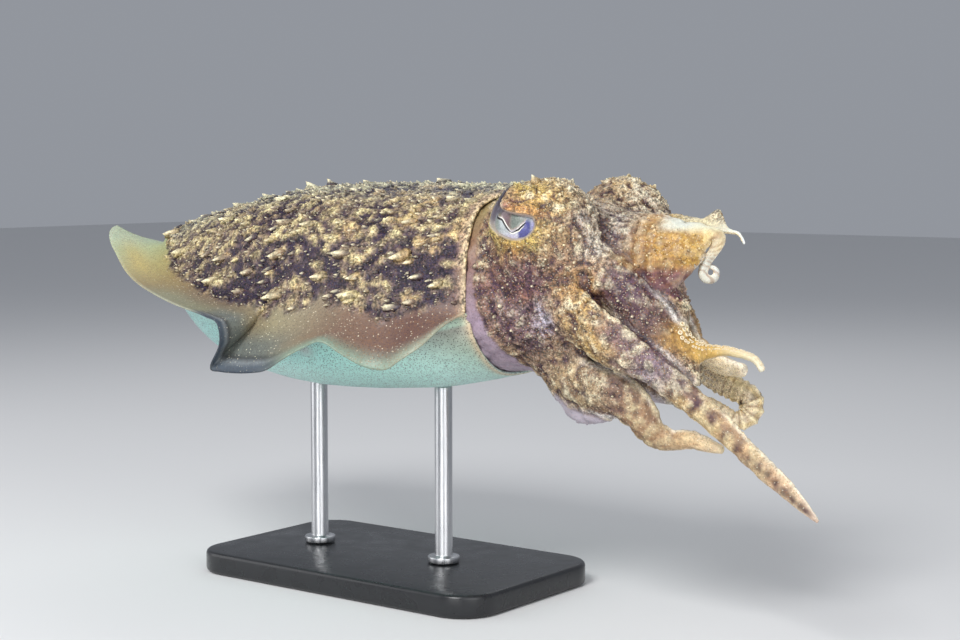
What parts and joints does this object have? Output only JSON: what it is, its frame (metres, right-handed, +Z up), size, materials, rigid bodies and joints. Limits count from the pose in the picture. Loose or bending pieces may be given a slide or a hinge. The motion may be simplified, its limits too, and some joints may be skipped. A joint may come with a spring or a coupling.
{
  "type": "common cuttlefish museum model on a stand",
  "caption": "Life-size common cuttlefish hovering level on a stand, fins rippling, arms spread ahead with curled tips.",
  "frame": {"origin": "middle of the stand's underside", "axes": "+X along the body from tail to arms, +Y to the animal's left, +Z up"},
  "size_m": [0.3051, 0.1359, 0.1475],
  "materials": {
    "back_skin": "wet skin with papillae, olive-cream with dark blotches, pale blue-green belly",
    "fin_skin": "thin wet skin, tan-mauve with fine white dots and a clear grey margin",
    "head_skin": "wet skin, yellow-gold and red-brown with a fine speckle",
    "arm_skin": "wet skin, gold and cream with purple-brown speckle and pale suckers",
    "pale_skin": "smooth pale lilac skin",
    "eye_shine": "silver eye with a W-shaped pupil under a clear wet cornea",
    "stand_board": "satin black",
    "stand_steel": "brushed rod"
  },
  "bodies": {
    "root": {"mantle": "back_skin", "fin_right": "fin_skin", "fin_left": "fin_skin", "head": "head_skin", "eye_right": "eye_shine", "eye_left": "eye_shine", "funnel": "pale_skin", "mouth": "pale_skin", "arm_right_1_base": "arm_skin", "arm_right_1_middle": "arm_skin", "arm_right_1_tip": "arm_skin", "arm_right_2_base": "arm_skin", "arm_right_2_middle": "arm_skin", "arm_right_2_tip": "arm_skin", "arm_right_3_base": "arm_skin", "arm_right_3_middle": "arm_skin", "arm_right_3_tip": "arm_skin", "arm_right_4_base": "arm_skin", "arm_right_4_middle": "arm_skin", "arm_right_4_tip": "arm_skin", "arm_left_1_base": "arm_skin", "arm_left_1_middle": "arm_skin", "arm_left_1_tip": "arm_skin", "arm_left_2_base": "arm_skin", "arm_left_2_middle": "arm_skin", "arm_left_2_tip": "arm_skin", "arm_left_3_base": "arm_skin", "arm_left_3_middle": "arm_skin", "arm_left_3_tip": "arm_skin", "arm_left_4_base": "arm_skin", "arm_left_4_middle": "arm_skin", "arm_left_4_tip": "arm_skin", "stand_base": "stand_board", "stand_rod_front": "stand_steel", "stand_rod_rear": "stand_steel"}
  },
  "joints": []
}
